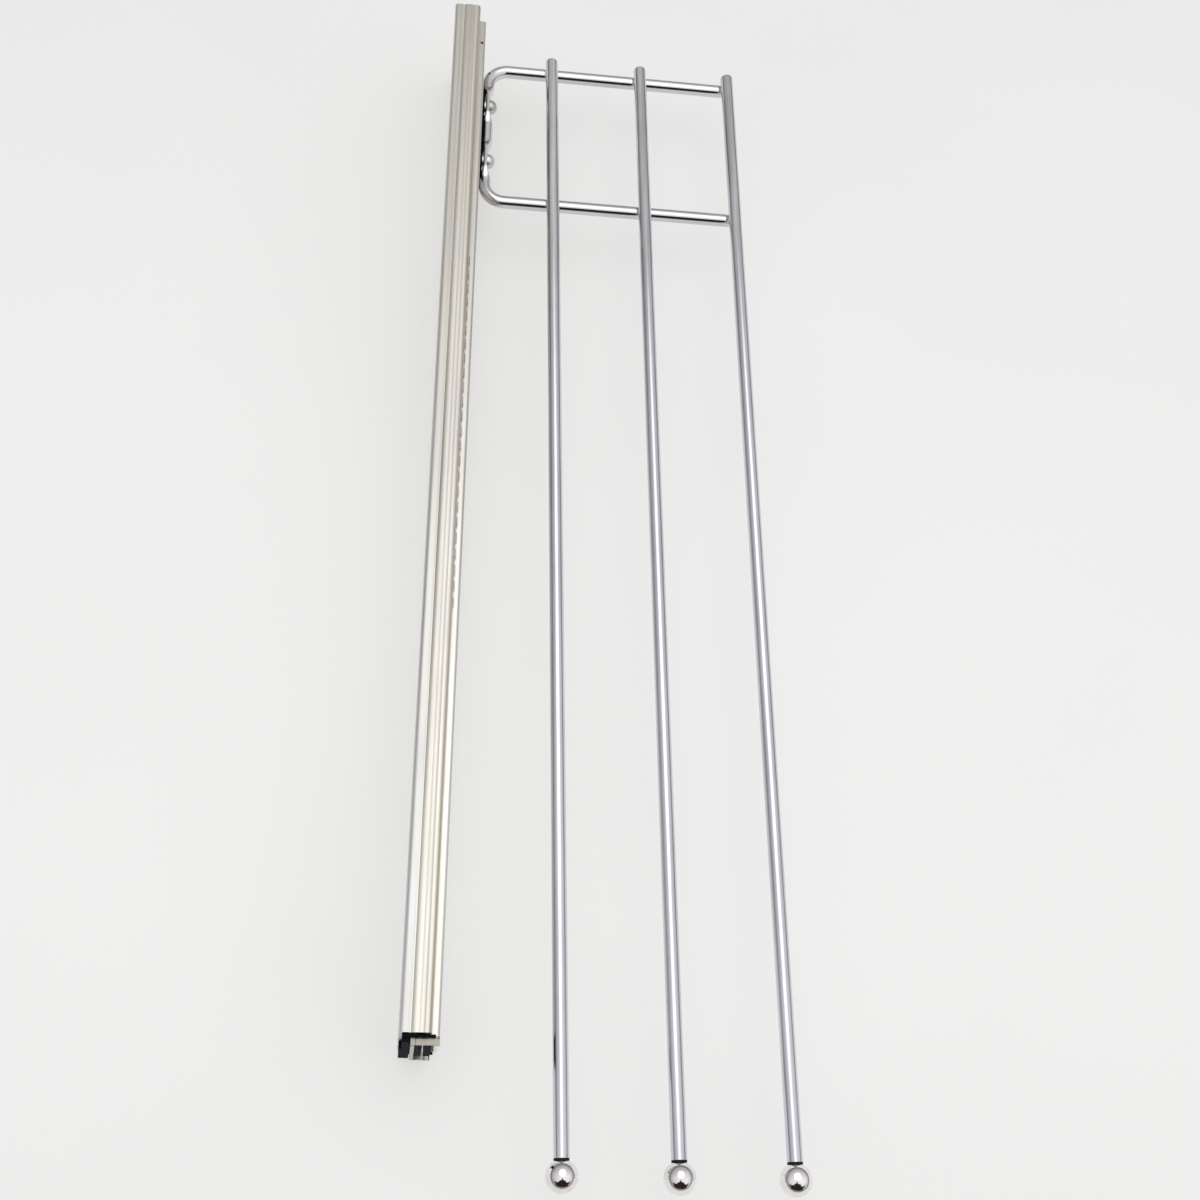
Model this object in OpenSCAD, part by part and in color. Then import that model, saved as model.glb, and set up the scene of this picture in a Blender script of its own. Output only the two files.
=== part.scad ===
// Pull-out towel rail for the side wall of a cabinet: three chromed rods with ball ends, welded to
// a bent wire bracket that is riveted to a three-part ball-bearing telescopic slide.
// Millimetres. X runs from the cabinet wall to the room side, -Y is the pull-out direction, Z is up.
// The origin is the centre of the row of mounting holes, on the face that lies against the wall.

/* [Slide] */
// Length of the member that is screwed to the cabinet
slide_len = 400; // [360:10:500]
// Height of the slide, over the two ball races
slide_h = 45; // [42:0.5:50]
// Sheet thickness of the three rolled members
sheet = 1.2; // [1:0.1:1.3]
// Distance from the front end to the first mounting hole
first_hole = 37; // [30:1:45]
// Distance between neighbouring mounting holes
hole_pitch = 160; // [128:32:160]
// Diameter of the mounting holes
hole_d = 4.6; // [4:0.1:5.5]

/* [Ball cages] */
// Diameter of the bearing balls
race_ball_d = 3.5; // [3.2:0.1:3.5]
// Distance between neighbouring balls
ball_pitch = 6; // [5.5:0.5:8]
// Number of balls in each row
balls_per_row = 24; // [8:1:24]

/* [Travel] */
// Stroke of the intermediate member in the cabinet member
outer_travel = 205; // [150:5:205]
// Stroke of the carriage member in the intermediate member
inner_travel = 200; // [150:5:200]

/* [Bracket] */
// Diameter of the wire that the bracket and the rods are made of
rod_d = 5; // [4:0.1:5.2]
// Distance between the two prongs, centre to centre
prong_pitch = 65; // [60:1:80]
// Distance from the slide's rear end to the middle of the bracket
bracket_setback = 45.2; // [42:0.1:60]
// Radius of the two bends, to the wire's centre
bend_r = 8; // [6:0.5:12]
// Distance between the two rivets
rivet_pitch = 27; // [24:1:30]
// Thickness of the flattened tabs
tab_t = 1.5; // [1.2:0.1:2.4]
// Outward splay of the rods from the slide's line, in degrees
splay = 1.5; // [0:0.1:2]

/* [Rods] */
// Distance between neighbouring rods
rod_pitch = 36.3; // [30:0.1:50]
// Distance from the bracket's web to the first rod
first_rod = 26.1; // [22:0.1:40]
// Length of a rod, from its rear tip to the neck ring
rod_len = 424.5; // [300:0.5:500]
// Diameter of the ball on each rod's front end
end_ball_d = 10.2; // [8:0.1:14]

/* [Hidden] */
$fn = 64;
eps = 0.01;

// Colours
zinc = [0.80, 0.80, 0.76];
chrome = [0.86, 0.87, 0.89];
satin = [0.74, 0.73, 0.71];
steel = [0.60, 0.61, 0.63];
black = [0.06, 0.06, 0.06];

// Slide ends along Y
slide_t = 12.7;
front_y = -(first_hole + hole_pitch);
rear_y = front_y + slide_len;
mid_front_y = front_y - 3.1;
mid_rear_y = rear_y - 4.3;
carriage_front_y = mid_front_y + 10;
carriage_rear_y = rear_y - 10;

// Ball races: each race is an arc round the ball's centre, in the XZ plane
race_r = race_ball_d / 2 + 0.1;
shell_r = race_r + sheet;
outer_race = [6.8, slide_h / 2 - shell_r];
inner_race = [9.9, outer_race[1] - 4.27];
mid_web_x = outer_race[0] - shell_r + 0.1;
mid_top_z = inner_race[1] + shell_r;
carriage_face_x = slide_t - 0.7;
carriage_web_x = carriage_face_x - sheet;

// Cabinet member: flat band and groove beside the outer race, and the crown over the race
band_z = slide_h / 2 - 0.25;
band_end = 3.3;
corner_r = 0.35;
groove_z = band_z - 0.3;
link_t = 0.8;
crown_r = [2.4, 1.6];
crown_x = [outer_race[0] - 1.5, outer_race[0] + 1.7];
lip_z = outer_race[1] + 0.48;
crease_x = outer_race[0] + 0.3;
crease_r = 2.4;
crease_depth = 0.2;

// Intermediate member: flat land over the inner race, with a tighter corner on the room side
land_r = 1.1;
land_x = 12.66 - land_r;
land_lip_z = inner_race[1] + 0.78;
front_lip_x = [4.1, 12.6];

// Ball cages
cage_t = 0.5;
cage_len = ball_pitch * balls_per_row + 2.6;
cage_hole_d = race_ball_d + 0.1;
scallop_d = ball_pitch * 0.55;
outer_cage_y = 14;
inner_cage_y = 14;
outer_cage_x = 2.2;
outer_cage_lip = 10.5;
inner_cage_x = 6.2;
inner_cage_lip = 12.2;
window_h = 26;
window_len = 36;
window_pitch = 44;

// Stops
stop_gap = 0.4;
tab_h = 6;
bumper_h = 36;
bumper_t = 2.4;
bumper_lip_top = 3;
wiper_x = [9.9, 11.4];
wiper_z = [mid_top_z + 0.35, lip_z - 0.3];
wiper_len = [1.1, 3];
cage_bumper_end = outer_cage_y - cage_len / 2 - outer_travel / 2 - stop_gap;
mid_tab_y = outer_cage_y + cage_len / 2 + outer_travel / 2 + stop_gap;
mid_tab_x = 1.6;
carriage_stop_end = inner_cage_y - cage_len / 2 - inner_travel / 2 - stop_gap;
carriage_stop_h = 23;
carriage_stop_x = [mid_web_x + sheet, 10.3];
carriage_tab_y = inner_cage_y + cage_len / 2 + inner_travel / 2 + stop_gap;
carriage_tab_x = 5.6;
access_d = 9.5;

// Bracket
bracket_y = rear_y - bracket_setback;
spacer_t = 2.4;
web_x = carriage_face_x + spacer_t + tab_t / 2;
tab_len = 9;
tab_w = 7.6;
taper_len = 4;
wire_r = rod_d / 2;
shank_d = 3.2;
rivet_hole_d = shank_d + 0.1;
spacer_d = 5.4;
pad_t = [0.5, 1.8];
pad_len = [44, 10.8];
pad_h = [14, 8];
head_d = 5.8;
head_h = 3.1;
head_rim = 0.5;
tail_d = 5;
tail_h = 1.1;

// Rods
rear_overhang = 3.2;
end_round = 0.9;
prong_end = first_rod + 2 * rod_pitch + wire_r - 0.4;
rod_rear_y = (prong_pitch / 2 + rear_overhang) / cos(splay);
spigot_d = 3;
spigot_len = 6;
ring_d = 4.9;
ring_t = 0.8;
ball_seat = sqrt(pow(end_ball_d / 2, 2) - pow(ring_d / 2 + 0.1, 2));
weld_r = 2.1;

// A sector of the plane from angle a0 to a1, less than a half turn, out to radius r
module sector(r, a0, a1) {
    steps = 3;
    polygon(concat([[0, 0]], [
        for (i = [0 : steps])
            let (a = a0 + (a1 - a0) * i / steps) 2 * r * [cos(a), sin(a)]
    ]));
}

// A curved band of sheet with its inside at radius r
module arc_band(centre, r, a0, a1) {
    translate(centre) intersection() {
        difference() {
            circle(r + sheet);
            circle(r);
        }
        sector(r + sheet, a0, a1);
    }
}

// Places a profile drawn in (x, z), and its mirror image below, along Y
module rolled(y_front, y_rear) {
    translate([0, y_rear, 0]) rotate([90, 0, 0]) linear_extrude(y_rear - y_front) {
        children();
        mirror([0, 1]) children();
    }
}

// A box between two corners
module block(low, high) {
    translate(low) cube(high - low);
}

// A hole along X through everything from x0 to x1
module cross_hole(x0, x1, y, d) {
    translate([x0, y, 0]) rotate([0, 90, 0]) cylinder(h = x1 - x0, d = d);
}

// Half profile of the cabinet member: web, flat band, groove and the curled ball race
module cabinet_profile() {
    square([sheet, band_z - corner_r - sheet]);
    arc_band([corner_r + sheet, band_z - corner_r - sheet], corner_r, 90, 180);
    translate([corner_r + sheet - eps, band_z - sheet]) square([band_end - corner_r - sheet, sheet]);
    translate([band_end - 0.2, groove_z - link_t]) square([crown_x[0] - band_end - 0.6, link_t]);
    difference() {
        union() {
            for (i = [0, 1]) translate([crown_x[i], slide_h / 2 - crown_r[i]]) circle(crown_r[i]);
            translate([crown_x[0], lip_z]) square([crown_x[1] - crown_x[0], slide_h / 2 - lip_z]);
            translate([crown_x[1], lip_z]) square([crown_r[1], slide_h / 2 - crown_r[1] - lip_z]);
        }
        translate([0, lip_z - 2 * crown_r[0]]) square([slide_t, 2 * crown_r[0]]);
        translate(outer_race) circle(race_r);
        translate([crease_x, slide_h / 2 + crease_r - crease_depth]) circle(crease_r);
    }
}

// Half profile of the intermediate member: web, then one race under the outer balls and one over the inner
module intermediate_profile() {
    translate([mid_web_x, 0]) square([sheet, outer_race[1] - 1.45]);
    arc_band(outer_race, race_r, -142, -40);
    arc_band(inner_race, race_r, 80, 125);
    difference() {
        union() {
            translate([land_x, mid_top_z - land_r]) circle(land_r);
            translate([inner_race[0], land_lip_z]) square([land_x - inner_race[0], mid_top_z - land_lip_z]);
            translate([land_x - land_r, land_lip_z]) square([2 * land_r, mid_top_z - land_r - land_lip_z]);
        }
        translate(inner_race) circle(race_r);
        translate([land_x - land_r, land_lip_z - 2 * land_r]) square(2 * land_r);
    }
}

// Half profile of the carriage member: web on the room side and the race under the inner balls
module carriage_profile() {
    translate([carriage_web_x, 0]) square([sheet, inner_race[1] - 2.1]);
    arc_band(inner_race, race_r, -155, -45);
}

module cabinet_member() {
    color(zinc) difference() {
        rolled(front_y, rear_y) cabinet_profile();
        for (i = [-1 : 1]) cross_hole(-1, sheet + 1, i * hole_pitch, hole_d);
    }
}

// Black clip inside the front end that stops the outer ball cage. Its lip covers the web's front edge,
// and a wiper over each flange of the intermediate member closes the race.
module cage_bumper() {
    color(black) difference() {
        union() {
            block([sheet, front_y - 2.5, -bumper_h / 2], [sheet + bumper_t, cage_bumper_end, bumper_h / 2]);
            block([0.3, front_y - 2.5, -bumper_h / 2], [sheet + eps, front_y, bumper_lip_top]);
            for (i = [0, 1]) mirror([0, 0, i]) {
                block([sheet, front_y - wiper_len[0], wiper_z[0]], [wiper_x[0], front_y + wiper_len[1], wiper_z[1]]);
                block([sheet, front_y - wiper_len[0], wiper_z[0]], [wiper_x[1], front_y - 0.2, wiper_z[1]]);
                block([sheet, front_y - wiper_len[0], bumper_h / 2 - eps],
                      [sheet + bumper_t, front_y + wiper_len[1], wiper_z[1]]);
            }
        }
        cross_hole(0, slide_t, -hole_pitch, access_d);
        for (i = [-1, 1])
            block([sheet - 1, front_y + 6, i * 9 - 2.5], [sheet + bumper_t - 0.8, front_y + 24, i * 9 + 2.5]);
    }
}

// Black buffer inside the rear end; its finger catches the carriage member's tab
module rear_bumper() {
    color(black) {
        block([sheet, mid_rear_y + stop_gap, -11], [9.4, rear_y - 0.4, 11]);
        block([6.8, carriage_tab_y + sheet + stop_gap, -2.6], [9.4, mid_rear_y + 2, 2.6]);
    }
}

// Cage profile: a web on the wall side and a strip through the balls' centres
module cage_profile(race, x, lip) {
    translate([x, 0]) square([cage_t, race[1] + cage_t / 2]);
    translate([x, race[1] - cage_t / 2]) square([lip - x, cage_t]);
}

function ball_y(y, i) = y + (i - (balls_per_row - 1) / 2) * ball_pitch;

module ball_cage(race, x, lip, y) {
    difference() {
        rolled(y - cage_len / 2, y + cage_len / 2) cage_profile(race, x, lip);
        for (i = [0 : balls_per_row - 1])
            translate([race[0], ball_y(y, i), -slide_h / 2]) cylinder(h = slide_h, d = cage_hole_d);
        for (i = [0 : balls_per_row])
            translate([lip + 0.5, ball_y(y, i - 0.5), -slide_h / 2]) cylinder(h = slide_h, d = scallop_d);
        for (i = [-1 : 1])
            block([x - 1, y + i * window_pitch - window_len / 2, -window_h / 2],
                  [x + 1, y + i * window_pitch + window_len / 2, window_h / 2]);
        block([x - 1, y - cage_len / 2 - 1, -window_h / 2], [x + 1, y - cage_len / 2 + 6, window_h / 2]);
    }
}

module ball_row(race, y, side) {
    color(steel) for (i = [0 : balls_per_row - 1])
        translate([race[0], ball_y(y, i), side * race[1]]) sphere(d = race_ball_d);
}

module outer_ball_cage() {
    color(zinc) ball_cage(outer_race, outer_cage_x, outer_cage_lip, outer_cage_y);
}

module inner_ball_cage() {
    color(zinc) ball_cage(inner_race, inner_cage_x, inner_cage_lip, inner_cage_y);
}

module intermediate_member() {
    color(zinc) {
        difference() {
            rolled(mid_front_y, mid_rear_y) intermediate_profile();
            cross_hole(0, slide_t, outer_travel - hole_pitch, access_d);
            translate([11.3, mid_rear_y - 11, 0]) cylinder(h = slide_h, d = 1.3);
            block([10.4, mid_front_y - 1, -slide_h / 2], [slide_t + 1, front_y - 0.4, -inner_race[1] + 3]);
        }
        block([front_lip_x[0], mid_front_y, mid_top_z - sheet], [front_lip_x[1], front_y - 1.4, mid_top_z]);
        block([mid_tab_x, mid_tab_y, -tab_h / 2], [mid_web_x + eps, mid_tab_y + sheet, tab_h / 2]);
    }
}

// Black ribbed block in the front end of the intermediate member that stops the inner ball cage
module carriage_stop() {
    slot_w = 0.7;
    color(black) difference() {
        block([carriage_stop_x[0], mid_front_y + 0.5, -carriage_stop_h / 2],
              [carriage_stop_x[1], carriage_stop_end, carriage_stop_h / 2]);
        for (i = [0 : 1])
            block([carriage_stop_x[0] + 0.9 + i * 1.5, mid_front_y, -carriage_stop_h],
                  [carriage_stop_x[0] + 0.9 + i * 1.5 + slot_w, mid_front_y + 9, carriage_stop_h]);
    }
}

module carriage_member() {
    color(zinc) {
        difference() {
            rolled(carriage_front_y, carriage_rear_y) carriage_profile();
            for (i = [-1, 1]) cross_hole(carriage_web_x - 1, slide_t + 1, bracket_y + i * rivet_pitch / 2, rivet_hole_d);
        }
        block([carriage_tab_x, carriage_tab_y, -tab_h / 2],
              [carriage_web_x + eps, carriage_tab_y + sheet, tab_h / 2]);
    }
}

// The bracket's frame: its origin is the middle of the web, its X runs along the prongs
module bracket_frame() {
    translate([web_x, bracket_y, 0]) children();
}

// One quarter bend and its prong; side is 1 for the rear and -1 for the front
module prong(side) {
    mirror([0, side > 0 ? 0 : 1, 0]) {
        translate([bend_r, prong_pitch / 2 - bend_r, 0])
            rotate([0, 0, 90]) rotate_extrude(angle = 90) translate([bend_r, 0]) circle(wire_r);
        translate([bend_r, prong_pitch / 2, 0])
            rotate([0, 90, 0]) cylinder(h = prong_end - bend_r, r = wire_r);
    }
}

// A straight stretch of the round web
module web_stretch(y0, y1) {
    translate([0, y0, 0]) rotate([-90, 0, 0]) cylinder(h = y1 - y0, r = wire_r);
}

// The pressed transition from the round wire at y_round to the flat tab at y_flat; both ends are
// a little slimmer than what they run into
module taper(y_round, y_flat) {
    bite = 0.8;
    hull() {
        translate([0, y_round, 0])
            rotate([90, 0, 0]) cylinder(h = bite, r = wire_r - 0.02, center = true, $fn = 32);
        translate([0, y_flat, 0]) cube([tab_t - 0.02, bite, tab_w - 0.04], center = true);
    }
}

// A flattened tab with its rivet hole
module flat_tab(y) {
    translate([0, y, 0]) difference() {
        cube([tab_t, tab_len, tab_w], center = true);
        cross_hole(-tab_t, tab_t, 0, rivet_hole_d);
    }
}

module rail_bracket() {
    tab_y = rivet_pitch / 2;
    inner_end = tab_y - tab_len / 2 - taper_len;
    outer_start = tab_y + tab_len / 2 + taper_len;
    bend_start = prong_pitch / 2 - bend_r;
    color(chrome) bracket_frame() {
        prong(1);
        prong(-1);
        web_stretch(outer_start, bend_start);
        web_stretch(-bend_start, -outer_start);
        web_stretch(-inner_end, inner_end);
        for (i = [-1, 1]) {
            taper(i * outer_start, i * (outer_start - taper_len));
            taper(i * inner_end, i * (inner_end + taper_len));
            flat_tab(i * tab_y);
        }
    }
}

// Black pad between the carriage member and the bracket, thicker beside the two tabs
module backing_pad() {
    color(black) difference() {
        union() {
            block([carriage_face_x, bracket_y - pad_len[0] / 2, -pad_h[0] / 2],
                  [carriage_face_x + pad_t[0], bracket_y + pad_len[0] / 2, pad_h[0] / 2]);
            for (i = [-1, 1])
                translate([carriage_face_x, bracket_y + i * rivet_pitch / 2 - pad_len[1] / 2, -pad_h[1] / 2])
                    cube([pad_t[1], pad_len[1], pad_h[1]]);
        }
        for (i = [-1, 1])
            cross_hole(carriage_face_x - 1, web_x, bracket_y + i * rivet_pitch / 2, spacer_d + 0.2);
    }
}

module spacer(y) {
    color(satin) difference() {
        cross_hole(carriage_face_x, carriage_face_x + spacer_t, y, spacer_d);
        cross_hole(carriage_face_x - 1, carriage_face_x + spacer_t + 1, y, rivet_hole_d);
    }
}

// A rivet along X: tail inside the channel, shank, and a domed head on a short rim
module rivet(y) {
    grip = sheet + spacer_t + tab_t;
    dome_h = head_h - head_rim;
    dome_r = (pow(head_d / 2, 2) + pow(dome_h, 2)) / (2 * dome_h);
    color(satin) translate([carriage_web_x, y, 0]) rotate([0, 90, 0]) {
        translate([0, 0, -tail_h]) cylinder(h = tail_h, d = tail_d);
        translate([0, 0, -eps]) cylinder(h = grip + 2 * eps, d = shank_d);
        translate([0, 0, grip]) intersection() {
            cylinder(h = head_h, d = head_d);
            translate([0, 0, head_h - dome_r]) sphere(dome_r);
        }
    }
}

module rear_spacer() { spacer(bracket_y + rivet_pitch / 2); }
module front_spacer() { spacer(bracket_y - rivet_pitch / 2); }
module rear_rivet() { rivet(bracket_y + rivet_pitch / 2); }
module front_rivet() { rivet(bracket_y - rivet_pitch / 2); }

// Frame of rod number i: origin at the rear tip, +Z along the rod towards the front
module rod_frame(i) {
    bracket_frame() translate([first_rod + i * rod_pitch, 0, rod_d]) rotate([0, 0, splay])
        translate([0, rod_rear_y, 0]) rotate([90, 0, 0]) children();
}

// A rod with a blunt, rounded rear end and a turned spigot in front
module rod(i) {
    color(chrome) rod_frame(i) {
        rotate_extrude() {
            translate([0, end_round]) square([wire_r, rod_len - end_round]);
            square([wire_r - end_round, 2 * end_round]);
            translate([wire_r - end_round, end_round]) circle(end_round);
        }
        translate([0, 0, rod_len - eps]) cylinder(h = spigot_len + eps, d = spigot_d);
    }
}

module neck_ring(i) {
    color(black) rod_frame(i) translate([0, 0, rod_len]) difference() {
        cylinder(h = ring_t, d = ring_d);
        translate([0, 0, -1]) cylinder(h = ring_t + 2, d = spigot_d + 0.1);
    }
}

module end_ball(i) {
    color(chrome) rod_frame(i) translate([0, 0, rod_len + ring_t]) difference() {
        translate([0, 0, ball_seat]) sphere(d = end_ball_d);
        translate([-end_ball_d, -end_ball_d, -end_ball_d]) cube([2 * end_ball_d, 2 * end_ball_d, end_ball_d]);
        translate([0, 0, -1]) cylinder(h = spigot_len + 0.6, d = spigot_d + 0.1);
    }
}

// The three weld fillets where the rods lie on one prong
module welds(side) {
    y = side * prong_pitch / 2;
    color(satin) bracket_frame() for (i = [0 : 2])
        translate([first_rod + i * rod_pitch - y * tan(splay), y, 0]) difference() {
            translate([0, 0, wire_r - 1]) cylinder(h = 2, r = weld_r);
            translate([0, 0, wire_r - 2]) cylinder(h = 4, r = 0.4);
            rotate([0, 90, 0]) cylinder(h = 20, r = wire_r, center = true);
            translate([0, 0, rod_d]) rotate([90, 0, splay]) cylinder(h = 20, r = wire_r, center = true);
        }
}

cabinet_member();
cage_bumper();
rear_bumper();
outer_ball_cage();
ball_row(outer_race, outer_cage_y, 1);  // outer_upper_balls
ball_row(outer_race, outer_cage_y, -1);  // outer_lower_balls
intermediate_member();
carriage_stop();
inner_ball_cage();
ball_row(inner_race, inner_cage_y, 1);  // inner_upper_balls
ball_row(inner_race, inner_cage_y, -1);  // inner_lower_balls
carriage_member();
rail_bracket();
backing_pad();
rear_spacer();
front_spacer();
rear_rivet();
front_rivet();
rod(0);  // left_rod
rod(1);  // centre_rod
rod(2);  // right_rod
welds(1);  // rear_welds
welds(-1);  // front_welds
neck_ring(0);  // left_ring
neck_ring(1);  // centre_ring
neck_ring(2);  // right_ring
end_ball(0);  // left_ball
end_ball(1);  // centre_ball
end_ball(2);  // right_ball
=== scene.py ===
"""Looks for the pull-out towel rail: materials, floor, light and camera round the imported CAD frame.
Metres. X runs from the cabinet wall to the room side, -Y is the pull-out direction, Z is up."""
import math

import bmesh
import bpy
from mathutils import Euler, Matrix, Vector


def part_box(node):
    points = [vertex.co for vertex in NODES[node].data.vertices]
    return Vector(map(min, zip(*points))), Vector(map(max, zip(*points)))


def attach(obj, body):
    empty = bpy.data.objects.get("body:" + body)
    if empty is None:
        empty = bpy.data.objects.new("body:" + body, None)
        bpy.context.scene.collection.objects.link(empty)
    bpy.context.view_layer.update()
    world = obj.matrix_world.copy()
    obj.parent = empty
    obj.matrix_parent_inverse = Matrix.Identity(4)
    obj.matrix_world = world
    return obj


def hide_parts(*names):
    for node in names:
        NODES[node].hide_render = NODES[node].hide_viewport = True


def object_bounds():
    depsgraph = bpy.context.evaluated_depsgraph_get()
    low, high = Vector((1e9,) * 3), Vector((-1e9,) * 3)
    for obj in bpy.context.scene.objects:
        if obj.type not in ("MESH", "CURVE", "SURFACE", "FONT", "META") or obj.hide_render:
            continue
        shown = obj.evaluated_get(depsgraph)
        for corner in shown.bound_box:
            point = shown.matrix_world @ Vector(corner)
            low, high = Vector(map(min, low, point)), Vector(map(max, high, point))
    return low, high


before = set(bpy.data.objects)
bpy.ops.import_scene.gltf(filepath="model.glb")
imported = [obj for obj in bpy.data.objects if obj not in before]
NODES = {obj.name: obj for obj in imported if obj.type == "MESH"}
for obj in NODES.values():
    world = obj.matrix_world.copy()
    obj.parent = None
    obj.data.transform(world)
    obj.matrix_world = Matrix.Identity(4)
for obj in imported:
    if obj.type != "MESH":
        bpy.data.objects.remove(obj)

CAD_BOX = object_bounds()

# Camera, solved from the photograph in the CAD frame
CAMERA_AT = (-0.00019, -0.26752, 0.51564)
CAMERA_TURN = (23.3277, -7.1094, 0.4089)
LENS_MM = 47.877
SENSOR_MM = 36.0

# The bracket's wire, as in the CAD
WIRE_R = 0.0025
BEND_R = 0.008
TAB_T = 0.0015
TAB_W = 0.0076
TAB_HALF = 0.0038
PRESS_LEN = 0.0062
TIP_ROUND, TIP_PHASE, TIP_POWER = 0.35, 0.35, 0.8
FLAT_SQUARENESS = 5.0
PRONG_STEPS, BEND_STEPS, WEB_STEPS, TIP_STEPS = 24, 16, 60, 4
RING_POINTS = 32

# Colours of bright chrome on the rods, the bracket's wire and the end balls. The faint violet cast of the
# rod and wire chrome is a painted reflection of the room
ROD_CHROME = (0.72, 0.715, 0.732)
WIRE_CHROME = (0.73, 0.72, 0.74)
BALL_CHROME = (0.93, 0.91, 0.90)
# Painted violet reflection of the room on the rods' front, and the Y range where it gives way to stronger
# draw lines at the rear
ROD_FRONT_VIOLET_REFLECTION = (0.975, 0.966, 1.02, 1.0)
ROD_WEAR_AND_VIOLET_FROM, ROD_WEAR_AND_VIOLET_TO = 0.02, 0.14

# Tones that multiply the zinc plating's level
ZINC_STAINS = [(0.30, (1.00, 1.00, 1.00)), (0.45, (1.01, 1.00, 0.99)), (0.56, (1.02, 1.00, 0.955)),
               (0.64, (1.01, 0.99, 0.975)), (0.80, (0.97, 0.98, 0.98))]
ZINC_STREAKS = [(0.34, (0.74, 0.70, 0.645)), (0.58, (1.0, 1.0, 1.0))]
REAR_TAN = (0.95, 0.93, 0.85, 1.0)
FRONT_LIFT = (1.12, 1.125, 1.08, 1.0)
# Painted shade: the tan darkening in the fold beside the crown
FOLD_PAINTED_SHADE = (0.84, 0.75, 0.62, 1.0)
BAND_TONE = (0.945, 0.960, 0.970, 1.0)
CUT_EDGE = (1.15, 1.15, 1.12, 1.0)
NOSE_TONES = [(0.0, (0.66, 0.66, 0.64)), (1.0, (0.46, 0.44, 0.41))]
TONE_STEP = 0.0002

STEEL = (0.74, 0.73, 0.70)
BEARING_STEEL = (0.66, 0.66, 0.66)
SHADED_STEEL = (0.34, 0.32, 0.30)
RIVET_STEEL = (0.76, 0.75, 0.73)

# Painted shade in the fold beside the cabinet member's crown, where the plating is darkened to tan: (start,
# full) on either side
FOLD_SHADE_SIDES = ((0.0090, 0.0097), (0.0104, 0.0109))
# The cabinet member's front end, where its cut edge is bare and bright
CUT_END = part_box("cabinet_member")[0][1] + 0.0001

FLOOR_SIZE = 8.0
FLOOR_GAP = 0.0002
FLOOR_GLOW_Y, FLOOR_GLOW = (-0.15, 0.30), (0.545, 0.465)

# The card that the balls reflect: a strip on a sphere. Each row is the turn from the -Y axis and the angles
# from the vertical of the outline's foot and top, in degrees
CARD_CENTRE, CARD_REACH = Vector((0.06, -0.236, 0.0)), 0.5
CARD_OUTLINE = [
    (-62, 66, 64), (-54, 70, 61), (-44, 72, 55), (-30, 72, 44), (-18, 71, 30), (-8, 70, 17), (0, 70, 7),
    (8, 70, 17), (18, 71, 31), (30, 72, 47), (44, 72, 57), (54, 70, 62), (62, 66, 64)]
# The backdrop that the bracket's wire reflects: its Y, and (x, z) of its corners
BACKDROP_Y = -0.75
BACKDROP_CORNERS = [(-0.34, 0.12), (0.48, 0.12), (0.40, 0.98), (-0.26, 0.98)]

CEILING_CENTRE, CEILING_HALF, CEILING_Z = (0.08, 0.24), (0.54, 0.63), 1.0
CEILING_RADIANCE, CEILING_POWER = 1.75, 2.6

# Room light by the height of the ray, and what the camera sees beyond the floor
ROOM_LEVELS = [
    (0.0, (0.20, 0.18, 0.18)), (0.16, (0.30, 0.275, 0.285)), (0.30, (0.55, 0.54, 0.55)),
    (0.55, (0.74, 0.735, 0.75)), (0.80, (0.86, 0.86, 0.88)), (1.0, (0.90, 0.90, 0.90))]
ROOM_SEEN = (0.84, 0.84, 0.84, 1.0)


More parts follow.
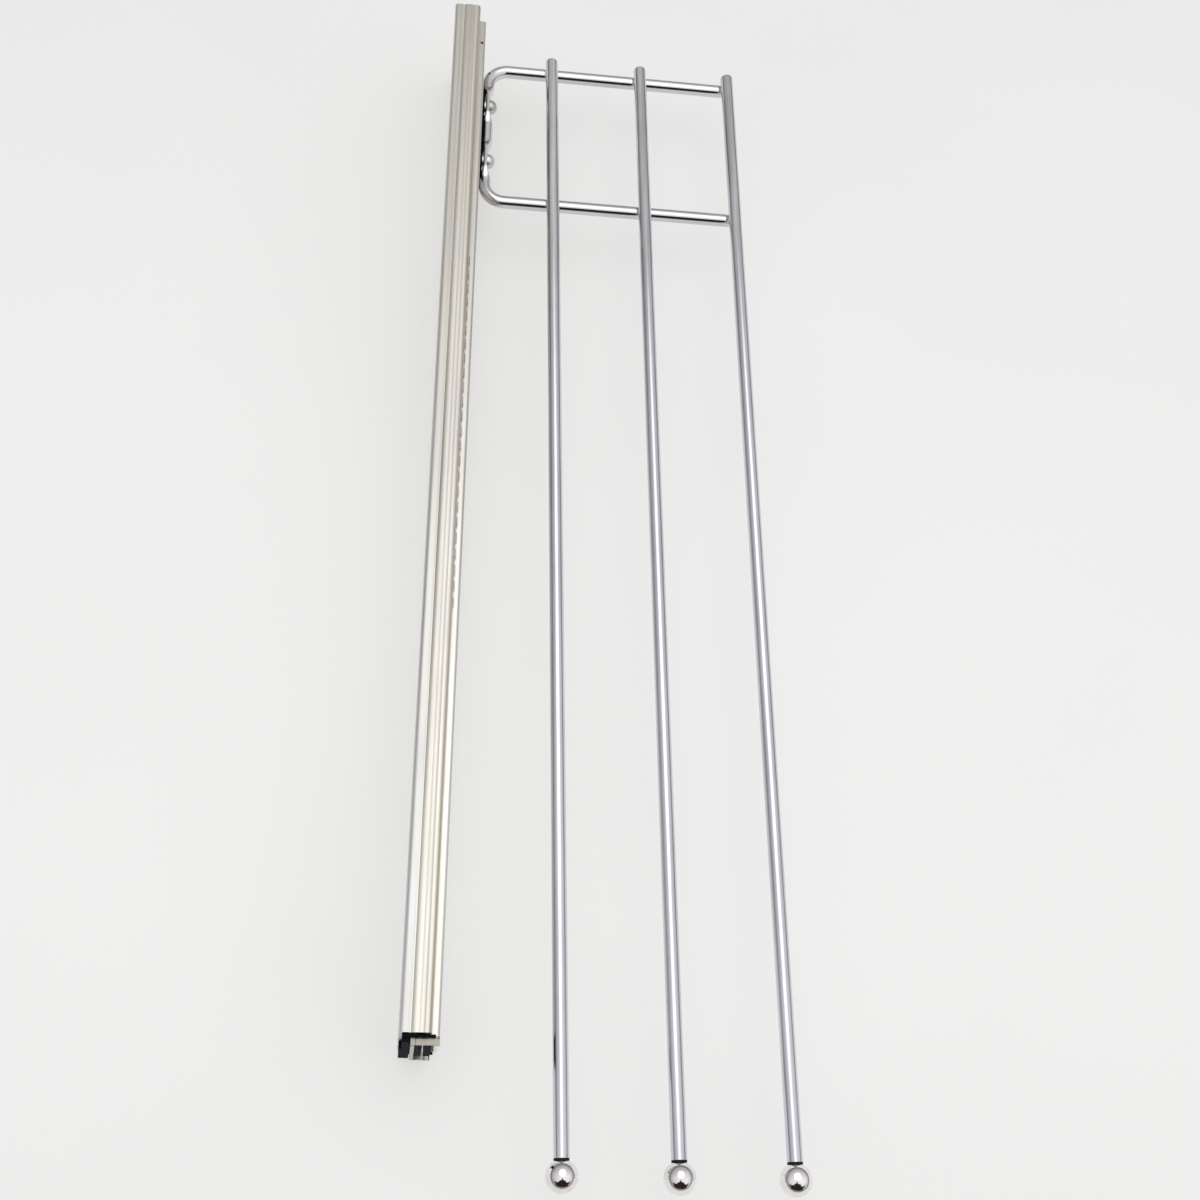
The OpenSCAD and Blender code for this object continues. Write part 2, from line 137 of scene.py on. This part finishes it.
# ---------------------------------------------------------------- node helpers
class Tree:
    """A small wrapper that adds and links shader nodes."""

    def __init__(self, tree):
        self.tree = tree
        tree.nodes.clear()

    def add(self, kind, sockets=None, **props):
        node = self.tree.nodes.new(kind)
        for name, value in props.items():
            setattr(node, name, value)
        for name, value in (sockets or {}).items():
            self.put(node, name, value)
        return node

    def put(self, node, name, value):
        """Sets a socket to a constant, or links it where the value is another node's socket."""
        socket = node.inputs[name]
        if isinstance(value, bpy.types.NodeSocket):
            self.tree.links.new(value, socket)
        else:
            socket.default_value = value

    def math(self, op, a, b=0.0):
        node = self.add("ShaderNodeMath", operation=op)
        self.put(node, 0, a)
        self.put(node, 1, b)
        return node.outputs[0]

    def ramp(self, fac, stops):
        node = self.add("ShaderNodeValToRGB", {"Fac": fac})
        ramp = node.color_ramp
        while len(ramp.elements) > 1:
            ramp.elements.remove(ramp.elements[-1])
        for i, (at, colour) in enumerate(stops):
            element = ramp.elements[0] if i == 0 else ramp.elements.new(at)
            element.position = at
            element.color = (*colour, 1.0)
        return node.outputs["Color"]

    def grey_ramp(self, fac, stops):
        return self.ramp(fac, [(at, (v, v, v)) for at, v in stops])

    def mix(self, kind, fac, a, b):
        node = self.add("ShaderNodeMix", data_type="RGBA", blend_type=kind)
        self.put(node, 0, fac)
        self.put(node, 6, a)
        self.put(node, 7, b)
        return node.outputs[2]

    def noise(self, vector, scale, detail=3.0, rough=0.5, distortion=0.0):
        node = self.add("ShaderNodeTexNoise", {
            "Vector": vector, "Scale": scale, "Detail": detail,
            "Roughness": rough, "Distortion": distortion})
        return node.outputs["Fac"]

    def spread(self, value, low, high, to_low, to_high):
        """Maps low..high to to_low..to_high, clamped."""
        node = self.add("ShaderNodeMapRange", {
            "Value": value, "From Min": low, "From Max": high, "To Min": to_low, "To Max": to_high})
        return node.outputs["Result"]

    def place(self):
        """The X, Y and Z of the object coordinates."""
        coords = self.add("ShaderNodeTexCoord").outputs["Object"]
        return self.add("ShaderNodeSeparateXYZ", {"Vector": coords}).outputs

    def stretched(self, scale, offset=(0.0, 0.0, 0.0)):
        """Object coordinates, scaled, so that a noise on them is drawn out along an axis."""
        coords = self.add("ShaderNodeTexCoord").outputs["Object"]
        node = self.add("ShaderNodeMapping", {
            "Vector": coords, "Scale": scale, "Location": offset})
        return node.outputs["Vector"]

    def bump(self, height, strength, distance, under=None):
        sockets = {"Height": height, "Strength": strength, "Distance": distance}
        if under is not None:
            sockets["Normal"] = under
        return self.add("ShaderNodeBump", sockets).outputs["Normal"]


def material(name, build):
    """A material whose Principled shader gets what build(tree) returns: {socket: constant or link}."""
    mat = bpy.data.materials.new(name)
    mat.use_nodes = True
    tree = Tree(mat.node_tree)
    shader = tree.add("ShaderNodeBsdfPrincipled")
    for socket, value in build(tree).items():
        tree.put(shader, socket, value)
    out = tree.add("ShaderNodeOutputMaterial")
    tree.put(out, "Surface", shader.outputs[0])
    return mat


# ---------------------------------------------------------------- materials
def chrome(seed, tint=ROD_CHROME, gloss=0.10, drawn_axis=1, wear_and_violet_reflection=0.0):
    """Bright chrome on drawn wire: faint draw lines along the wire, clouded patches and fine pits. The share
    given by the last argument makes the draw lines strong towards the rear and paints a faint violet
    reflection on the front."""
    def build(t):
        along = [260.0, 260.0, 260.0]
        along[drawn_axis] = 9.0
        offset = (seed * 1.7, seed * 0.9, seed * 2.3)
        lines = t.noise(t.stretched(along, offset), 1.0, 4.0, 0.6)
        clouds = t.noise(t.stretched((38.0, 38.0, 38.0), offset), 1.0, 5.0, 0.62, 0.4)
        pits = t.noise(t.stretched((1400.0, 1400.0, 1400.0), offset), 1.0, 2.0, 0.5)
        dull = tuple(c * 0.86 for c in tint)
        colour = t.mix("MIX", t.spread(lines, 0.35, 0.7, 0.0, 1.0), (*tint, 1.0), (*dull, 1.0))
        colour = t.mix("MULTIPLY", 0.35, colour, t.grey_ramp(clouds, [(0.3, 0.8), (0.6, 1.0)]))
        rear = t.spread(t.place()[1], ROD_WEAR_AND_VIOLET_FROM, ROD_WEAR_AND_VIOLET_TO, 0.0, wear_and_violet_reflection)
        strong = t.grey_ramp(lines, [(0.38, 0.72), (0.50, 1.0), (0.62, 1.14)])
        colour = t.mix("MULTIPLY", rear, colour, strong)
        # Painted violet reflection on the rods' front part
        colour = t.mix("MULTIPLY", t.math("SUBTRACT", wear_and_violet_reflection, rear), colour, ROD_FRONT_VIOLET_REFLECTION)
        rough = t.math("ADD", t.spread(clouds, 0.3, 0.75, gloss * 0.7, gloss * 1.7),
                       t.spread(lines, 0.4, 0.7, 0.0, 0.035))
        normal = t.bump(lines, 0.12, 0.00004)
        normal = t.bump(pits, 0.06, 0.00003, normal)
        return {"Base Color": colour, "Metallic": 1.0, "Roughness": rough, "Normal": normal}
    return build


def zinc(seed, warm=1.0, gloss=0.40, level=0.72, band_end=0.0, nose_y=-1.0, fold_shade_and_cut_edge=0.0):
    """Zinc plate with a pale yellow passivate: rolled streaks along the slide, yellow patches, scuffs. It is
    tanner towards the rear, duller on the flat band nearest the wall, out to band_end, darker grey in front
    of nose_y (darkest on the lip plate on top), and brighter at the front. The share given by the last
    argument adds painted shade, a tan darkening in the fold beside the crown, and the bare cut edge."""
    def build(t):
        offset = (seed * 3.1, seed * 0.37, seed * 1.3)
        streaks = t.noise(t.stretched((560.0, 4.0, 560.0), offset), 1.0, 5.0, 0.6)
        broad = t.noise(t.stretched((60.0, 3.0, 60.0), offset), 1.0, 3.0, 0.5)
        patches = t.noise(t.stretched((90.0, 14.0, 90.0), offset), 1.0, 4.0, 0.55, 0.8)
        grain = t.noise(t.stretched((1500.0, 300.0, 1500.0), offset), 1.0, 2.0, 0.5)
        x, y, z = t.place()
        colour = t.ramp(patches, [(at, tuple(level * c for c in tone)) for at, tone in ZINC_STAINS])
        silver = t.mix("MIX", 1.0 - warm, colour, (level, level, level, 1.0))
        rear_tan = t.spread(t.math("ADD", y, t.math("MULTIPLY", broad, 0.10)), -0.05, 0.25, 0.0, 1.0)
        tanned = t.mix("MULTIPLY", rear_tan, silver, REAR_TAN)
        lined = t.mix("MULTIPLY", 0.75, tanned, t.ramp(streaks, ZINC_STREAKS))
        toned = t.mix("MULTIPLY", 0.5, lined, t.grey_ramp(broad, [(0.3, 0.90), (0.65, 1.0)]))
        band = t.spread(x, band_end, band_end + TONE_STEP, 1.0, 0.0)
        front = t.math("MULTIPLY", t.spread(y, 0.0, -0.15, 0.0, 1.0), t.math("SUBTRACT", 1.0, band))
        toned = t.mix("MULTIPLY", front, toned, FRONT_LIFT)
        # Painted shade: tan darkening in the fold beside the crown, strongest towards the front
        tan_fold_shade = t.math("MULTIPLY", t.spread(x, *FOLD_SHADE_SIDES[0], 0.0, 1.0),
                        t.spread(x, *FOLD_SHADE_SIDES[1], 1.0, 0.0))
        tan_fold_shade = t.math("MULTIPLY", tan_fold_shade, t.spread(y, 0.10, -0.15, 0.4 * fold_shade_and_cut_edge, fold_shade_and_cut_edge))
        toned = t.mix("MULTIPLY", tan_fold_shade, toned, FOLD_PAINTED_SHADE)
        toned = t.mix("MULTIPLY", band, toned, BAND_TONE)
        cut = t.spread(y, CUT_END, CUT_END + 0.0001, fold_shade_and_cut_edge, 0.0)
        toned = t.mix("MULTIPLY", cut, toned, CUT_EDGE)
        # Darker in front of nose_y, darkest on the lip plate on top
        nose = t.spread(y, nose_y, nose_y + TONE_STEP, 1.0, 0.0)
        toned = t.mix("MULTIPLY", nose, toned, t.ramp(t.spread(z, 0.012, 0.014, 0.0, 1.0), NOSE_TONES))
        rough = t.math("ADD", t.spread(patches, 0.3, 0.7, gloss * 0.85, gloss * 1.15),
                       t.spread(streaks, 0.3, 0.7, -0.05, 0.07))
        normal = t.bump(streaks, 0.20, 0.00006)
        normal = t.bump(grain, 0.10, 0.00003, normal)
        return {"Base Color": toned, "Metallic": 1.0, "Roughness": rough, "Normal": normal}
    return build


def steel(seed, tint, gloss):
    """Plain bright steel with tumbling marks, for bearing balls, cages, spacers and rivets."""
    def build(t):
        offset = (seed * 0.7, seed * 2.9, seed * 1.9)
        marks = t.noise(t.stretched((700.0, 700.0, 700.0), offset), 1.0, 4.0, 0.65, 0.6)
        clouds = t.noise(t.stretched((150.0, 150.0, 150.0), offset), 1.0, 3.0, 0.5)
        dull = tuple(c * 0.7 for c in tint)
        colour = t.mix("MIX", t.spread(clouds, 0.35, 0.7, 0.0, 1.0), (*tint, 1.0), (*dull, 1.0))
        rough = t.math("ADD", t.spread(marks, 0.3, 0.7, gloss * 0.7, gloss * 1.5),
                       t.spread(clouds, 0.3, 0.7, 0.0, 0.05))
        normal = t.bump(marks, 0.18, 0.00005)
        return {"Base Color": colour, "Metallic": 1.0, "Roughness": rough, "Normal": normal}
    return build


def plastic(seed, low, high, gloss, bump=0.25):
    """Moulded plastic: a fine spark-eroded texture and flow clouds."""
    def build(t):
        offset = (seed * 1.1, seed * 2.1, seed * 0.6)
        texture = t.noise(t.stretched((1800.0, 1800.0, 1800.0), offset), 1.0, 3.0, 0.6)
        flow = t.noise(t.stretched((120.0, 60.0, 120.0), offset), 1.0, 4.0, 0.55, 0.5)
        colour = t.ramp(flow, [(0.3, low), (0.7, high)])
        rough = t.math("ADD", t.spread(flow, 0.3, 0.7, gloss * 0.8, gloss * 1.2),
                       t.spread(texture, 0.3, 0.7, -0.04, 0.06))
        normal = t.bump(texture, bump, 0.00006)
        return {"Base Color": colour, "Roughness": rough, "Normal": normal,
                "Specular IOR Level": 0.0, "IOR": 1.4, "Coat Weight": 0.10, "Coat Roughness": 0.35}
    return build


def weld(seed):
    """Weld fillet: silver run with dark burnt patches and ripples."""
    def build(t):
        offset = (seed * 1.3, seed * 0.4, seed * 2.0)
        ripples = t.noise(t.stretched((900.0, 900.0, 900.0), offset), 1.0, 4.0, 0.6, 1.0)
        burn = t.noise(t.stretched((420.0, 420.0, 420.0), offset), 1.0, 3.0, 0.5)
        colour = t.ramp(burn, [(0.30, (0.10, 0.09, 0.09)), (0.45, (0.30, 0.28, 0.27)),
                               (0.6, (0.62, 0.61, 0.60))])
        rough = t.spread(ripples, 0.3, 0.7, 0.22, 0.5)
        return {"Base Color": colour, "Metallic": 1.0, "Roughness": rough,
                "Normal": t.bump(ripples, 0.6, 0.0002)}
    return build


NODE_MATERIALS = {
    "cabinet_member": ("zinc_cabinet", zinc(1.0, level=0.75, band_end=0.0034, fold_shade_and_cut_edge=1.0)),
    "intermediate_member": ("zinc_intermediate", zinc(2.0, 0.7, 0.36, 0.74, nose_y=-0.1976)),
    "carriage_member": ("zinc_carriage", zinc(3.0, 0.6, 0.36, 0.70)),
    "outer_ball_cage": ("cage_outer", steel(4.0, SHADED_STEEL, 0.28)),
    "inner_ball_cage": ("cage_inner", steel(5.0, STEEL, 0.28)),
    "cage_bumper": ("plastic_bumper", plastic(10.0, (0.004, 0.005, 0.007), (0.010, 0.012, 0.015), 0.42)),
    "rear_bumper": ("plastic_rear", plastic(11.0, (0.005, 0.006, 0.007), (0.012, 0.014, 0.016), 0.44)),
    "carriage_stop": ("plastic_stop", plastic(12.0, (0.005, 0.008, 0.012), (0.014, 0.019, 0.026), 0.38)),
    # The black pad between the carriage and the bracket's wire also paints the deep shade in the gap there
    "backing_pad": ("black_pad_painted_shade", plastic(29.0, (0.004, 0.004, 0.004), (0.010, 0.010, 0.010), 0.5)),
}
for i, row in enumerate(("outer_upper", "outer_lower", "inner_upper", "inner_lower")):
    NODE_MATERIALS[row + "_balls"] = ("bearing_" + row, steel(6.0 + i, BEARING_STEEL, 0.12))
for i, side in enumerate(("left", "centre", "right")):
    NODE_MATERIALS[side + "_rod"] = (f"chrome_{side}_rod", chrome(14.0 + i, wear_and_violet_reflection=1.0))
    NODE_MATERIALS[side + "_ring"] = (
        "ring_" + side, plastic(23.0 + i, (0.012, 0.011, 0.010), (0.03, 0.028, 0.026), 0.38))
    NODE_MATERIALS[side + "_ball"] = (f"chrome_{side}_ball", chrome(26.0 + i, BALL_CHROME, 0.07, 2))
for i, end in enumerate(("rear", "front")):
    NODE_MATERIALS[end + "_welds"] = ("weld_" + end, weld(17.0 + i))
    NODE_MATERIALS[end + "_spacer"] = ("spacer_" + end, steel(19.0 + i, STEEL, 0.25))
    NODE_MATERIALS[end + "_rivet"] = ("rivet_" + end, steel(21.0 + i, RIVET_STEEL, 0.24))
for node_name, (mat_name, build) in NODE_MATERIALS.items():
    NODES[node_name].data.materials.clear()
    NODES[node_name].data.materials.append(material(mat_name, build))


# ---------------------------------------------------------------- bent wire bracket
def smooth(t):
    t = min(1.0, max(0.0, t))
    return t * t * (3.0 - 2.0 * t)


def bracket_path():
    """Stations (point, direction) along the bracket's wire from the rear prong's tip to the front prong's,
    and the rivets' Y."""
    low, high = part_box("rail_bracket")
    rivet_ys = [sum(corner[1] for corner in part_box(rivet)) / 2 for rivet in ("rear_rivet", "front_rivet")]
    middle = sum(rivet_ys) / 2
    web_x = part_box("rear_spacer")[1][0] + TAB_T / 2
    prong_y = (high[1] - low[1]) / 2 - WIRE_R
    tip = high[0] - WIRE_R * TIP_ROUND
    half = []
    for i in range(PRONG_STEPS):
        half.append((web_x + BEND_R + (tip - web_x - BEND_R) * (1 - i / PRONG_STEPS), prong_y, 0.0))
    for i in range(BEND_STEPS + 1):
        turn = math.pi / 2 * i / BEND_STEPS
        half.append((web_x + BEND_R - BEND_R * math.sin(turn),
                     prong_y - BEND_R + BEND_R * math.cos(turn), turn))
    straight = prong_y - BEND_R
    for i in range(1, WEB_STEPS + 1):
        half.append((web_x, straight * (1 - i / WEB_STEPS), math.pi / 2))
    stations = [(Vector((x, middle + y, 0)), Vector((-math.cos(a), -math.sin(a), 0))) for x, y, a in half]
    stations += [(Vector((p.x, 2 * middle - p.y, 0)), Vector((-d.x, d.y, 0)))
                 for p, d in reversed(stations[:-1])]
    return stations, rivet_ys


def flatness(point, rivet_ys):
    """1 on a pressed tab, 0 on the round wire, and a smooth step between."""
    away = min(abs(point.y - y) for y in rivet_ys)
    if point.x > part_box("rear_spacer")[1][0] + 2 * TAB_T:
        return 0.0
    return 1.0 - smooth((away - TAB_HALF) / PRESS_LEN)


def wire_ring(bm, point, direction, flat, scale=1.0):
    """One cross-section: a circle on the wire, going over to a thin rounded bar on a tab."""
    side = Vector((direction.y, -direction.x, 0))
    half_t = WIRE_R + (TAB_T / 2 - WIRE_R) * flat
    half_w = WIRE_R + (TAB_W / 2 - WIRE_R) * smooth(flat)
    power = 2.0 / (2.0 + FLAT_SQUARENESS * flat)
    ring = []
    for i in range(RING_POINTS):
        a = 2 * math.pi * i / RING_POINTS
        c, s = math.cos(a), math.sin(a)
        across = half_t * math.copysign(abs(c) ** power, c)
        up = half_w * math.copysign(abs(s) ** power, s)
        ring.append(bm.verts.new(point + side * across * scale + Vector((0, 0, up * scale))))
    return ring


def tip_rings(bm, point, heading, outward, order):
    """The rounded end of a prong, as rings that shrink outward from point."""
    rings = []
    for k in order:
        rise = math.sin(math.pi / 2 * (k + TIP_PHASE) / TIP_STEPS)
        beyond = outward * (WIRE_R * TIP_ROUND * (1 - rise))
        rings.append(wire_ring(bm, point + beyond, heading, 0.0, 1 - TIP_ROUND * (1 - rise ** TIP_POWER)))
    return rings


def bracket():
    """The wire bracket as one smooth loft, in place of the CAD's straight-edged transitions."""
    stations, rivet_ys = bracket_path()
    bm = bmesh.new()
    start, heading = stations[0]
    end, leaving = stations[-1]
    rings = tip_rings(bm, start, heading, -heading, range(TIP_STEPS))
    rings += [wire_ring(bm, p, d, flatness(p, rivet_ys)) for p, d in stations]
    rings += tip_rings(bm, end, leaving, leaving, reversed(range(TIP_STEPS)))
    for a, b in zip(rings, rings[1:]):
        for i in range(RING_POINTS):
            j = (i + 1) % RING_POINTS
            bm.faces.new((a[i], a[j], b[j], b[i]))
    bm.faces.new(list(reversed(rings[0])))
    bm.faces.new(rings[-1])
    bmesh.ops.recalc_face_normals(bm, faces=bm.faces)
    mesh = bpy.data.meshes.new("bent_wire")
    bm.to_mesh(mesh)
    bm.free()
    for polygon in mesh.polygons:
        polygon.use_smooth = True
    mesh.materials.append(material("chrome_bracket", chrome(13.0, WIRE_CHROME, 0.035, 0)))
    obj = bpy.data.objects.new("bent_wire", mesh)
    bpy.context.scene.collection.objects.link(obj)
    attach(obj, "carriage")
    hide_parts("rail_bracket")


# ---------------------------------------------------------------- floor
def stage_mesh(name, points, faces, mat):
    """A mesh for the stage, not attached to any of the object's bodies."""
    mesh = bpy.data.meshes.new(name)
    mesh.from_pydata(points, [], faces)
    mesh.materials.append(mat)
    obj = bpy.data.objects.new(name, mesh)
    bpy.context.scene.collection.objects.link(obj)
    return obj


def flat_panel(name, corners, mat):
    return stage_mesh(name, corners, [tuple(range(len(corners)))], mat)


def floor():
    half = FLOOR_SIZE / 2
    z = CAD_BOX[0][2] - FLOOR_GAP

    def build(t):
        tone = t.noise(t.stretched((7.0, 7.0, 7.0)), 1.0, 3.0, 0.5)
        glow = t.spread(t.place()[1], *FLOOR_GLOW_Y, *FLOOR_GLOW)
        grain = t.noise(t.stretched((900.0, 900.0, 900.0)), 1.0, 2.0, 0.5)
        colour = t.ramp(tone, [(0.3, (0.40, 0.40, 0.40)), (0.7, (0.42, 0.42, 0.42))])
        return {"Base Color": colour, "Roughness": t.spread(grain, 0.3, 0.7, 0.62, 0.75),
                "Specular IOR Level": 0.2, "Normal": t.bump(grain, 0.03, 0.0001),
                "Emission Color": (1.0, 1.0, 0.985, 1.0), "Emission Strength": glow}
    flat_panel("floor", [(-half, -half, z), (half, -half, z), (half, half, z), (-half, half, z)],
               material("paper_floor", build))


# ---------------------------------------------------------------- light
def photographer():
    """Dark cards where the photographer leans in, so that the chrome reflects them; the camera doesn't see
    them."""
    def build(t):
        folds = t.noise(t.stretched((6.0, 6.0, 6.0)), 1.0, 3.0, 0.5)
        return {"Base Color": t.ramp(folds, [(0.3, (0.018, 0.012, 0.010)), (0.7, (0.06, 0.040, 0.032))]),
                "Roughness": 0.9, "Specular IOR Level": 0.1}

    def spot(turn, tilt):
        turn, tilt = math.radians(turn), math.radians(tilt)
        return CARD_CENTRE + CARD_REACH * Vector((
            math.sin(tilt) * math.sin(turn), -math.sin(tilt) * math.cos(turn), math.cos(tilt)))
    points = [spot(turn, tilt) for turn, foot, top in CARD_OUTLINE for tilt in (foot, top)]
    faces = [(2 * i, 2 * i + 2, 2 * i + 3, 2 * i + 1) for i in range(len(CARD_OUTLINE) - 1)]
    body = [(x, BACKDROP_Y, z) for x, z in BACKDROP_CORNERS]
    cloth = material("dark_cloth", build)
    for card in (stage_mesh("dark_card", points, faces, cloth), flat_panel("dark_backdrop", body, cloth)):
        card.visible_camera = False


def ceiling_glow():
    """A soft-edged bright patch of ceiling: the white line along the rods and the balls' highlight."""
    mat = bpy.data.materials.new("ceiling_glow")
    mat.use_nodes = True
    t = Tree(mat.node_tree)
    sides = [t.math("POWER", t.math("ABSOLUTE", t.math("DIVIDE", at, half)), CEILING_POWER)
             for at, half in zip(t.place(), CEILING_HALF)]
    fall = t.add("ShaderNodeMapRange", {
        "Value": t.math("ADD", *sides), "From Min": 1.0, "From Max": 0.10},
        interpolation_type="SMOOTHSTEP").outputs["Result"]
    lamp = t.add("ShaderNodeEmission", {"Color": (1.0, 1.0, 0.99, 1.0), "Strength": CEILING_RADIANCE})
    mixer = t.add("ShaderNodeMixShader", {"Fac": fall})
    t.put(mixer, 1, t.add("ShaderNodeBsdfTransparent").outputs[0])
    t.put(mixer, 2, lamp.outputs[0])
    t.put(t.add("ShaderNodeOutputMaterial"), "Surface", mixer.outputs[0])
    half_x, half_y = CEILING_HALF
    corners = [(-half_x, -half_y, 0), (-half_x, half_y, 0), (half_x, half_y, 0), (half_x, -half_y, 0)]
    patch = flat_panel("ceiling_patch", corners, mat)
    patch.location = (*CEILING_CENTRE, CEILING_Z)
    patch.visible_camera = False


def studio():
    """Soft room light: pale above, greyer down the walls and dark at the horizon."""
    world = bpy.data.worlds.new("studio")
    bpy.context.scene.world = world
    world.use_nodes = True
    t = Tree(world.node_tree)
    ray = t.add("ShaderNodeTexCoord").outputs["Generated"]
    x, y, z = t.add("ShaderNodeSeparateXYZ", {"Vector": ray}).outputs
    level = t.ramp(z, ROOM_LEVELS)
    across = t.grey_ramp(t.spread(x, -0.9, 0.9, 0.0, 1.0), [(0.0, 0.80), (1.0, 1.05)])
    along = t.grey_ramp(t.spread(y, -0.1, 0.7, 0.0, 1.0), [(0.0, 1.15), (1.0, 0.85)])
    level = t.mix("MULTIPLY", 1.0, t.mix("MULTIPLY", 1.0, level, across), along)
    is_camera = t.add("ShaderNodeLightPath").outputs["Is Camera Ray"]
    seen = t.mix("MIX", is_camera, level, ROOM_SEEN)
    back = t.add("ShaderNodeBackground", {"Color": seen, "Strength": 1.0})
    out = t.add("ShaderNodeOutputWorld")
    t.put(out, "Surface", back.outputs[0])


def camera():
    data = bpy.data.cameras.new("camera")
    data.lens = LENS_MM
    data.sensor_width = SENSOR_MM
    data.clip_start, data.clip_end = 0.01, 50.0
    obj = bpy.data.objects.new("camera", data)
    bpy.context.scene.collection.objects.link(obj)
    obj.location = CAMERA_AT
    obj.rotation_euler = Euler([math.radians(a) for a in CAMERA_TURN], "XYZ")
    bpy.context.scene.camera = obj


bracket()
floor()
studio()
photographer()
ceiling_glow()
camera()
bpy.context.scene.view_settings.view_transform = "Standard"
